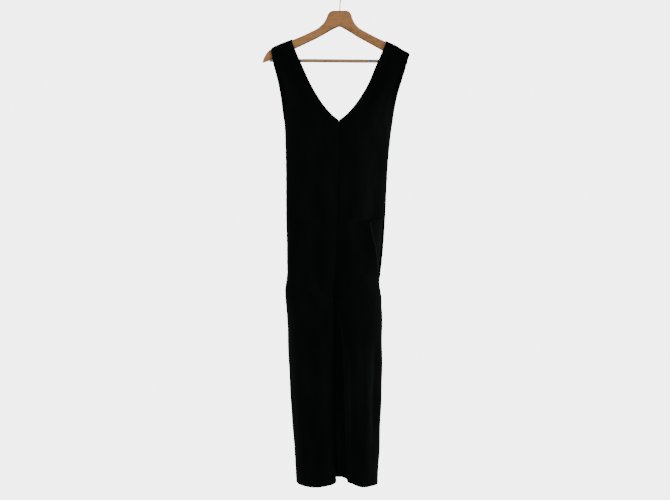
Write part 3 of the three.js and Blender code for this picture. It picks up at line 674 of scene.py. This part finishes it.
# The folds that the solids have too, and then the finer creases: from and until are drops,
# across and to are places from the centre seam or inside leg (0) to the side seam (1).
foldColumns = "from until across to wide depth"
folds = {
    "front_left": table(
        foldColumns,
        (360, 700, 0.62, 0.5, 26, -7), (880, 1240, 0.64, 0.66, 17, -11),
        (900, 1320, 0.79, 0.81, 20, 5), (820, 1420, 0.225, 0.225, 8, 6.5),
        (830, 1420, 0.12, 0.12, 16, -7),
    ),
    "front_right": table(
        foldColumns,
        (420, 800, 0.55, 0.66, 28, -6), (760, 1300, 0.52, 0.56, 24, -7),
    ),
    "back_left": table(
        foldColumns,
        (350, 900, 0.45, 0.58, 30, -10), (860, 1320, 0.5, 0.42, 24, -8),
    ),
    "back_right": table(
        foldColumns,
        (380, 860, 0.5, 0.62, 30, -9), (880, 1320, 0.55, 0.5, 24, -9),
    ),
}
creases = {
    "front_left": table(
        foldColumns,
        (150, 330, 0.30, 0.42, 9, 1.1), (190, 420, 0.55, 0.72, 12, -1.6),
        (300, 520, 0.30, 0.22, 14, 1.3), (330, 560, 0.78, 0.86, 13, 1.6),
        (430, 640, 0.40, 0.30, 16, -1.5), (560, 800, 0.20, 0.10, 12, 1.2),
        (640, 812, 0.42, 0.14, 10, -1.6), (700, 830, 0.60, 0.26, 9, 1.3),
        (760, 900, 0.30, 0.44, 10, -1.5), (830, 1060, 0.40, 0.36, 12, 1.7),
        (860, 1330, 0.50, 0.48, 8, 1.8), (905, 1180, 0.70, 0.72, 7, 1.7),
        (1010, 1330, 0.30, 0.24, 13, -1.9), (1120, 1345, 0.90, 0.88, 12, -1.6),
        (820, 1345, 0.12, 0.10, 9, -1.5), (1150, 1345, 0.60, 0.57, 9, -1.6),
        (880, 1400, 0.238, 0.238, 6, 4.2), (890, 1400, 0.275, 0.275, 7, -2.2),
    ),
    "front_right": table(
        foldColumns,
        (140, 340, 0.35, 0.50, 9, 1.1), (200, 440, 0.62, 0.74, 12, -1.6),
        (310, 560, 0.34, 0.28, 15, 1.4), (340, 600, 0.80, 0.88, 14, 1.5),
        (470, 700, 0.44, 0.34, 17, -1.6), (590, 790, 0.16, 0.12, 12, 1.2),
        (650, 815, 0.46, 0.16, 10, -1.6), (710, 835, 0.64, 0.30, 9, 1.2),
        (770, 930, 0.24, 0.40, 11, -1.6), (850, 1160, 0.34, 0.40, 13, 1.8),
        (880, 1345, 0.70, 0.66, 13, 1.9), (930, 1220, 0.86, 0.84, 10, -1.6),
        (1040, 1345, 0.24, 0.30, 12, -1.8), (1160, 1345, 0.44, 0.46, 9, 1.6),
        (830, 1345, 0.10, 0.12, 9, 1.3),
    ),
    "back_left": table(
        foldColumns,
        (160, 360, 0.40, 0.55, 10, -1.3), (220, 470, 0.66, 0.76, 12, 1.7),
        (330, 620, 0.20, 0.26, 16, -1.6), (450, 760, 0.74, 0.70, 15, 1.8),
        (600, 812, 0.40, 0.14, 12, -1.8), (690, 840, 0.60, 0.24, 10, 1.4),
        (830, 1100, 0.70, 0.66, 13, 1.9), (900, 1345, 0.32, 0.28, 12, 1.9),
        (1000, 1345, 0.80, 0.78, 11, -1.7), (1150, 1345, 0.60, 0.58, 9, 1.6),
    ),
    "back_right": table(
        foldColumns,
        (150, 350, 0.44, 0.58, 10, -1.3), (230, 500, 0.70, 0.80, 12, 1.7),
        (350, 640, 0.24, 0.30, 16, -1.6), (480, 770, 0.78, 0.72, 15, 1.8),
        (620, 815, 0.42, 0.16, 12, -1.8), (700, 845, 0.62, 0.28, 10, 1.4),
        (850, 1140, 0.74, 0.70, 13, 1.9), (890, 1345, 0.36, 0.32, 12, 1.9),
        (1020, 1345, 0.82, 0.80, 11, -1.7), (1170, 1345, 0.58, 0.60, 9, 1.6),
    ),
}

neckHalf = through(panel["neckline"], "drop", "half")
armholeAt = {word: through(panel["armholes"], "drop", word) for word in ("left", "right")}
section = {column: through(panel[name], "drop", column)
           for name in ("outline", "halves") for column in panel[name] if column != "drop"}


def pointOf(face):
    # The drop of the V's lowest place, at the front or at the back.
    return panel["point"] if face > 0 else panel["backPoint"]


def sectionPoints(side, face, drop, share, mouth):
    # Points on half the tube. The section is a rounded oblong (a superellipse), turned about
    # its own middle; share 0 to 1 goes in equal lengths from the seam or neckline to the side,
    # less the pocket's mouth.
    word = wordOf(side)
    ends = word.capitalize()
    inside, depth = section["in" + ends](drop), section["deep" + ends](drop)
    turn = np.radians(section["turn" + ends](drop))
    seam, square = section["seam"](drop), section["square"](drop)
    outside = section[word](drop) - side * seam
    # The half width that reaches from the inner to the outer end once it is turned.
    dual = square / (square - 1)
    reach, middle = (outside - inside) / 2, (outside + inside) / 2
    half = (reach ** dual - np.abs(depth * np.sin(turn)) ** dual) ** (1 / dual) / np.cos(turn)

    def angleAt(x):
        part = np.clip((x - middle) / half, -1, 1)
        return np.arccos(np.sign(part) * np.abs(part) ** (square / 2))

    gap = panel["gap"] / 2
    fromMiddle = smooth((panel["seamAt"] - drop) / panel["seamOver"])
    neck = neckHalf(drop - pointOf(face) + panel["point"]) - side * seam * fromMiddle
    seamEdge = np.maximum(np.where(drop < pointOf(face), neck, 0), gap)
    isLeg = drop >= panel["crotch"]
    start = np.where(isLeg, math.pi, angleAt(seamEdge))
    end = np.where(drop < panel["underarm"], angleAt(armholeAt[word](drop) - side * seam), 0)
    # Steps that are shorter near both ends, where the angle moves a point furthest.
    t = np.linspace(0, 1, panel["trace"] + 1)
    eased = t - np.sin(2 * math.pi * t) / (4 * math.pi)
    angle = start[:, None] + (end - start)[:, None] * eased
    c, s = np.cos(angle), np.sin(angle)
    power = (2 / square)[:, None]
    wide = half[:, None] * np.sign(c) * np.abs(c) ** power
    fore = face * depth[:, None] * np.abs(s) ** power
    cosTurn, sinTurn = np.cos(turn)[:, None], np.sin(turn)[:, None]
    traceX = middle[:, None] + wide * cosTurn + fore * sinTurn
    traceY = wide * sinTurn - fore * cosTurn
    step = np.hypot(np.diff(traceX, axis=1), np.diff(traceY, axis=1))
    run = np.concatenate([np.zeros((len(drop), 1)), np.cumsum(step, axis=1)], axis=1)
    total = run[:, -1]
    freeIn = np.where(isLeg, gap, 0)
    length = total - freeIn - gap - mouth
    goal = freeIn + share * length
    # The step that holds the goal, and the place on it.
    i = np.clip((run < goal[:, None]).sum(axis=1), 1, panel["trace"])
    k = np.arange(len(drop))
    t = (goal - run[k, i - 1]) / np.maximum(run[k, i] - run[k, i - 1], 1e-9)
    stepX, stepY = traceX[k, i] - traceX[k, i - 1], traceY[k, i] - traceY[k, i - 1]
    size = np.maximum(np.hypot(stepX, stepY), 1e-9)
    return {
        "x": side * (traceX[k, i - 1] + stepX * t) + seam, "y": traceY[k, i - 1] + stepY * t,
        "nx": side * stepY / size, "ny": -face * stepX / size,
        "fromIn": goal, "fromOut": total - goal, "length": length,
    }


def rippleOf(rows, share, drop, width):
    # The sum of soft troughs and ridges: each runs from one place across to another, straying
    # a little, and has a bell-shaped section, faded in and out along its length.
    out = np.zeros_like(drop)
    for start, until, across, to, wide, depth in zip(*rows.values()):
        along = (drop - start) / (until - start)
        stray = panel["stray"] * np.sin(along * panel["strayTurns"] + across * panel["strayShift"])
        off = (share - across - (to - across) * along - stray) * width / wide
        faded = smooth(along / panel["foldStart"]) * smooth((1 - along) / panel["foldFinish"])
        out += depth * bell(off) * faded
    return out


def foldAt(name, drop, fromIn, fromOut):
    # How far the cloth stands in or out: the main folds, the finer creases and a product and a
    # sum of waves for its unevenness, all quiet near the seams, and the dip down the side with
    # a ridge beside it, both bell-shaped.
    width = fromIn + fromOut
    share = fromIn / width
    quiet = smooth(fromIn / panel["foldAside"]) * smooth(fromOut / panel["foldAside"])
    near = smooth(fromIn / panel["creaseAside"]) * smooth(fromOut / panel["creaseAside"])
    seed = sum(map(ord, name)) % 17  # a number from the name, so that no two panels are alike
    slow = np.sin(drop / panel["slowDown"] + seed) * np.sin(share * panel["slowAcross"] + seed * 2)
    quick = np.sin(drop / panel["quickDown"] + share * panel["quickAcross"] + seed)
    uneven = panel["slow"] * slow + panel["quick"] * quick
    dip = smooth((drop - panel["dipTop"]) / (panel["dipFull"] - panel["dipTop"]))
    if name.endswith("right"):
        dip = dip * (1 - smooth((drop - panel["rightDipEnd"]) / panel["rightDipOver"]))
    aside = fromOut / panel["dipWide"]
    ridge = panel["dipRidge"] * bell(aside / panel["ridgeSpread"]) * smooth(fromIn / panel["ridgeInner"])
    return (rippleOf(folds[name], share, drop, width) * quiet
            + (rippleOf(creases[name], share, drop, width) + uneven) * near
            + panel["dipDepth"] * dip * (ridge - panel["dipSeam"] * bell(aside)))


def shoulderAt(x):
    # The arm's crest, the bar and the arm's slant at a place across. The place on the hanger's
    # own axis is found by a few corrections, and past the arm's end the crest goes on straight.
    def crestAt(own):
        out = np.abs(own)
        past = out - panel["endFrom"]
        straight = woodTop(panel["endFrom"]) + past * panel["endSlope"]
        return onHanger(own, bowAt(own), heightOf(np.where(past > 0, straight, woodTop(out))))

    own = x / math.cos(math.radians(hanger["turn"]))
    for _ in range(panel["tries"]):
        own = own + x - crestAt(own)[..., 0]
    crest, ahead, behind = crestAt(own), crestAt(own + 1), crestAt(own - 1)
    slant = np.hypot(1, (ahead[..., 1] - behind[..., 1]) / (ahead[..., 0] - behind[..., 0]))
    onBar = onHanger(own, bowAt(bar["sleeveEnd"]), heightOf(bar["drop"]))
    return crest, onBar, slant


def seamWork(drop, p, side, face):
    # What sewing does to the surface: a bell-shaped groove with small puckers where two panels
    # meet and a swell beside it, a soft roll along a finished edge, a mouth that stands open,
    # and a step where the hem is turned up.
    mouth = mouthAt(drop, side, face)
    sewnIn, sewnOut = drop >= pointOf(face), (drop >= panel["underarm"]) & (mouth <= 0)
    puckers = sum(np.sin(drop / wave) for wave in panel["puckerWaves"])
    deep = panel["groove"] + panel["pucker"] * puckers
    leg = drop - panel["crotch"]
    flush = np.where(leg < 0, 1, smooth(leg / panel["legFlush"]))
    out = np.zeros_like(drop)
    for sewn, off, depth in ((sewnIn, p["fromIn"], deep * flush), (sewnOut, p["fromOut"] - mouth, deep)):
        groove = -depth * bell(off / panel["grooveWide"])
        swell = panel["swell"] * bell((off - panel["swellAt"]) / panel["swellWide"])
        roll = panel["edgeRoll"] * bell(off / panel["rollWide"])
        out += np.where(sewn, groove + swell, roll)
    lip = bell((p["fromOut"] - mouth) / pocket["gapeWide"]) * smooth(mouth / pocket["gapeFrom"])
    stitched = panel["end"] - panel["hemTurn"]
    hem = panel["hemStep"] * smooth((drop - stitched) / panel["hemStepOver"])
    return out + pocket["gape"] * lip + hem


def hungPoints(name, side, face, p, drop):
    # A section's points as they hang: near the arm they lie on it and pass before the bar, and
    # further down they go over to the section's own place, with its folds and seams.
    crest, onBar, slant = shoulderAt(p["x"])
    below = drop - heightOf(crest[..., 2])
    near = crest[..., 1] - face * (panel["overArm"] * slant + panel["gap"] / 2)
    held, over = np.full_like(drop, panel["held"]), panel["heldBack"]
    if face > 0:
        barDepth = np.minimum(near, onBar[..., 1] - panel["overBar"])
        near = near + (barDepth - near) * smooth((below - panel["barFrom"]) / panel["barOver"])
        held, over = np.maximum(held, crest[..., 2] - onBar[..., 2] + panel["belowBar"]), panel["heldFront"]
    hug = (1 - smooth((below - held) / over)) * smooth((panel["underarm"] - drop) / panel["free"])
    fold = foldAt(name, drop, p["fromIn"], p["fromOut"]) * (1 - hug)
    work = seamWork(drop, p, side, face)
    centred = np.where(drop < panel["crotch"], smooth(p["fromIn"] / panel["centreAside"]), 1)
    y = (p["y"] + fold * p["ny"]) * (1 - hug) + near * hug + work * p["ny"]
    return np.stack([p["x"] + (fold + work) * p["nx"] * centred, y, heightOf(drop)], axis=-1)


def panelGrid(name, side, face):
    # A panel's outer points: rows on an arc over the arm, rows spread down the strap, and level
    # rows to the hem, which sags, rises towards the inside leg and waves.
    share = np.linspace(0, 1, panel["across"] + 1)

    def placeRow(dropOf):
        # A row whose drops depend on where its points lie across, found by a few corrections.
        x = np.full(len(share), side * armholeAt["left"](panel["join"]))
        for _ in range(panel["tries"]):
            drop = dropOf(x)
            found = sectionPoints(side, face, drop, share, np.zeros_like(drop))
            x = found["x"] + panel["sway"]
        return {**found, "x": x}, drop

    def crestDrop(x):
        return heightOf(shoulderAt(x)[0][..., 2])

    rows, drops = [], []
    wood = panel["overArm"]
    for angle in np.radians(np.linspace(0, panel["crestTurn"], panel["crestRows"])):
        p, drop = placeRow(lambda x: crestDrop(x) + wood / 2)
        crest, _, slant = shoulderAt(p["x"])
        y = crest[..., 1] - face * (panel["gap"] / 2 + slant * wood * math.sin(angle))
        z = crest[..., 2] + panel["crestLift"] - wood * (1 - math.cos(angle))
        rows.append(np.stack([p["x"], y, z], axis=-1))
        drops.append(heightOf(z))

    def firstDrop(x):
        return crestDrop(x) - panel["crestLift"] + wood

    strapRows = int((panel["join"] - panel["strapTop"]) / panel["rowHeight"])
    for part in np.arange(strapRows) / strapRows:
        p, drop = placeRow(lambda x: firstDrop(x) + part * (panel["join"] - firstDrop(x)))
        rows.append(hungPoints(name, side, face, p, drop))
        drops.append(drop)

    count = int((panel["end"] - panel["join"]) / panel["rowHeight"])
    rampRows = np.arange(0, pocket["ramp"], pocket["rampStep"])
    low = np.unique(np.concatenate([
        np.linspace(panel["join"], panel["end"], count), panel["crotch"] + np.array(panel["crotchRows"]),
        pocket["top"] + rampRows, pocket["end"] - rampRows]))
    drop, across = np.repeat(low, len(share)), np.tile(share, len(low))
    p = sectionPoints(side, face, drop, across, mouthAt(drop, side, face))
    p["x"] = p["x"] + panel["sway"]
    hung = hungPoints(name, side, face, p, drop)
    bulge = np.sin(math.pi * across)
    sag = panel[wordOf(side) + "Sag"] * bulge ** panel["sagRound"]
    raised = panel[wordOf(side) + "Raised"] * (1 - smooth(across / panel["raisedInner"]))
    wave = panel["wave"] * np.sin(across * panel["waveAcross"] + side + 2 * face) * bulge
    hung[:, 2] -= smooth((drop - panel["hemFrom"]) / panel["hemOver"]) * (sag - raised + wave)
    rows.extend(hung.reshape(len(low), -1, 3))
    drops.extend(drop.reshape(len(low), -1))
    return np.array(rows), np.array(drops)


def gridNormals(grid, drops, side, face):
    # Outward normals: the cross product of the two neighbours' directions. Along a seam they lie
    # in the seam's own plane, so that the two walls stay side by side there.
    n = np.cross(np.gradient(grid, axis=1), -np.gradient(grid, axis=0)) * side * face
    n /= np.maximum(np.linalg.norm(n, axis=2), 1e-9)[..., None]
    n[0] = (0, 0, 1)
    down = drops[:, 0]
    turn = np.radians(section["turn" + wordOf(side).capitalize()](down))
    sideways = np.stack([side * np.cos(turn), np.sin(turn), np.zeros_like(turn)], axis=-1)
    sideSeam = (down >= panel["underarm"]) & (mouthAt(down, side, face) <= 0)
    inLeg = down >= panel["crotch"]
    n[sideSeam, -1] = sideways[sideSeam]
    n[down >= pointOf(face), 0] = (0, -face, 0)
    n[inLeg, 0] = -sideways[inLeg]
    return n


def freeEdges(drops, side, face):
    # How free each point's edge is: 1 where it is finished, less along a seam and none on the
    # shoulder.
    down = drops[:, 0]
    free = np.ones(drops.shape)
    free[0] = 0
    free[down >= pointOf(face), 0] = panel["tuck"]
    free[(down >= panel["underarm"]) & (mouthAt(down, side, face) <= 0), -1] = panel["tuck"]
    return free


def shell(name, grid, normals, wall, flip, free, width):
    # A thin wall: an outer grid, an inner one moved in along the normals, and a rim of two
    # strips whose middle line is pushed out where the edge is free. Its uv map is in metres on
    # the flat cut: across by the width, down by the height of the middle column.
    high, across = grid.shape[:2]
    count = high * across
    outer, inner = grid.reshape(-1, 3), (grid - normals * wall).reshape(-1, 3)
    k, i = np.meshgrid(np.arange(high - 1), np.arange(across - 1), indexing="ij")
    a = (k * across + i).ravel()
    top = [(0, j) for j in range(across - 1)]
    right = [(j, across - 1) for j in range(high - 1)]
    bottom = [(high - 1, j) for j in range(across - 1, 0, -1)]
    left = [(j, 0) for j in range(high - 1, 0, -1)]
    edges = np.array(top + right + bottom + left)
    inward = np.repeat([(1, 0), (0, -1), (-1, 0), (0, 1)], [len(top), len(right), len(bottom), len(left)],
                       axis=0)
    at, behind = tuple(edges.T), tuple((edges + inward).T)
    away = grid[at] - grid[behind]
    away /= np.maximum(np.linalg.norm(away, axis=1), 1e-9)[:, None]
    middle = grid[at] - normals[at] * wall / 2 + away * free[at][:, None] * panel["rim"] * wall
    edge = edges[:, 0] * across + edges[:, 1]
    ring = 2 * count + np.arange(len(edge))
    nextEdge, nextRing = np.roll(edge, -1), np.roll(ring, -1)
    quads = np.concatenate([
        np.stack([a, a + across, a + across + 1, a + 1], axis=1),
        count + np.stack([a, a + 1, a + across + 1, a + across], axis=1),
        np.stack([edge, nextEdge, nextRing, ring], axis=1),
        np.stack([ring, nextRing, count + nextEdge, count + edge], axis=1)])
    if flip:
        quads = quads[:, ::-1]
    flatX = np.tile(np.linspace(0, width, across), high)
    flatY = np.repeat(-grid[:, across // 2, 2] / 1000, across)
    flat = np.stack([flatX, flatY], axis=1)
    points = np.concatenate([outer, inner, middle])
    return makeMesh(name, points, quads.tolist(), uv=np.concatenate([flat, flat, flat[edge]]))


def makePanel(which, side, face, material):
    # One panel as a hung sheet over the hanger's bow.
    node = which + "_" + wordOf(side)
    grid, drops = panelGrid(node, side, face)
    flat = panel["flat"][which]
    made = shell(which.capitalize() + "Panel" + wordOf(side).capitalize(), grid,
                 gridNormals(grid, drops, side, face), panel["wall"], side * face < 0,
                 freeEdges(drops, side, face), flat[0])
    dress(made, material, node)
    return made, drops


def makeFacing(drops, side, material):
    # The strip behind the pocket's mouth, as a sheet that hangs on its front panel.
    grid, normals = facingGrid("front_" + wordOf(side), side)
    width = (max(mouthAt(drops[:, 0], side, 1)) + pocket["under"]) / 1000
    strip = shell("PocketFacing" + wordOf(side).capitalize(), grid, normals, pocket["wall"],
                  side < 0, np.zeros(grid.shape[:2]), width)
    dress(strip, material, "pocket_facing_" + wordOf(side))


# The floor, the light and the camera, in metres

floor = {"height": -1.9, "radius": 1.7, "grey": 0.94, "rough": 0.9, "sides": 128}
studio = {
    "soft": 0.55,  # the white world's strength as it lights the cloth, and as it is seen
    "seen": 5.0,
    # Round lamps: place, diameter, power in watts and what they look at.
    "lamps": {
        "keyLight": ((1.9, -1.7, 0.5), 1.0, 40, (0, 0, -0.7)),
        "sideLight": ((2.2, 0.1, -0.5), 0.9, 24, (0, 0, -0.8)),
        "rimLight": ((-2.2, 0.5, -0.3), 0.9, 22, (0, 0, -0.8)),
    },
}
view = {
    "place": (-0.0174, -2.8, -0.753),
    "length": 53.5,  # the focal length and the sensor's width, in millimetres
    "sensor": 36,
    "near": 0.05,
    "far": 200,
}


def makeFloor():
    # A pale round floor far below the hems, as under a clothes rail at head height.
    bpy.ops.mesh.primitive_circle_add(vertices=floor["sides"], radius=floor["radius"],
                                      fill_type="NGON", location=(0, 0, floor["height"]))
    disc = bpy.context.object
    disc.name = "paleFloor"
    material, _, shader = newMaterial("paleFloor", {"Roughness": floor["rough"]})
    shader.inputs["Base Color"].default_value = (*grey(floor["grey"]), 1)
    disc.data.materials.append(material)


def makeWorld():
    # A white world: soft where it lights the scene, and bright where the camera sees it.
    world = bpy.data.worlds.new("studio")
    bpy.context.scene.world = world
    world.use_nodes = True
    tree = world.node_tree
    lit = tree.nodes["Background"]
    lit.inputs["Color"].default_value = (1, 1, 1, 1)
    lit.inputs["Strength"].default_value = studio["soft"]
    bright = addNode(tree, "ShaderNodeBackground", {}, Color=(1, 1, 1, 1), Strength=studio["seen"])
    isSeen = addNode(tree, "ShaderNodeLightPath", {}).outputs["Is Camera Ray"]
    sources = {0: isSeen, 1: lit.outputs["Background"], 2: bright.outputs["Background"]}
    either = addNode(tree, "ShaderNodeMixShader", sources)
    tree.links.new(either.outputs["Shader"], tree.nodes["World Output"].inputs["Surface"])


def areaLight(name, place, size, power, target):
    # A round lamp that faces its target: turned from straight down by the slope of the way
    # there, and then about the plumb.
    light = bpy.data.lights.new(name, "AREA")
    light.shape, light.size, light.energy = "DISK", size, power
    lamp = bpy.data.objects.new(name, light)
    bpy.context.scene.collection.objects.link(lamp)
    lamp.location = place
    x, y, z = np.array(target) - np.array(place)
    lamp.rotation_euler = (math.atan2(math.hypot(x, y), -z), 0, math.atan2(y, x) - math.pi / 2)


def makeCamera():
    # A level camera straight in front.
    lens = bpy.data.cameras.new("camera")
    lens.sensor_width, lens.lens = view["sensor"], view["length"]
    lens.clip_start, lens.clip_end = view["near"], view["far"]
    camera = bpy.data.objects.new("camera", lens)
    bpy.context.scene.collection.objects.link(camera)
    camera.location = view["place"]
    camera.rotation_euler = (math.radians(90), 0, 0)
    bpy.context.scene.camera = camera


makeHanger(woodMaterial("lacqueredBeech", hanger["light"], hanger["dark"], hanger["edgeShade"]))
makeHook(steelMaterial("polishedSteel", hook["colour"], hook["rough"]))
makeRod("trouserBar", -bar["dowelHalf"], bar["dowelHalf"], bar["thick"] / 2,
        woodMaterial("turnedBeech", bar["light"], bar["dark"]), "wood", "bar_dowel")
sleeveSteel = steelMaterial("dullSteel", bar["steel"], bar["rough"])
for side in (1, -1):
    ends = sorted((side * (bar["dowelHalf"] + bar["sleeveGap"]), side * bar["sleeveEnd"]))
    makeRod("barSleeve" + wordOf(side).capitalize(), *ends, bar["sleeve"] / 2, sleeveSteel, "steel",
            "bar_sleeve_" + wordOf(side))
print("hanger, hook and bar made")

velvet = velvetMaterial("blackVelvet", panel["colour"], panel["lift"], panel["cutWidth"])
# The facing's velvet is a lighter copy of the panels' velvet: painted light in the pocket's mouth.
litFacingVelvet = velvetMaterial("pocketVelvet", pocket["colour"], pocket["lift"], pocket["cutWidth"])
for side in (1, -1):
    frontPanel, frontDrops = makePanel("front", side, 1, velvet)
    makeFacing(frontDrops, side, litFacingVelvet)
    makePanel("back", side, -1, velvet)
print("cloth made")

makeWorld()
makeFloor()
for name, (place, size, power, target) in studio["lamps"].items():
    areaLight(name, place, size, power, target)
makeCamera()
print("stage, lights and camera made")
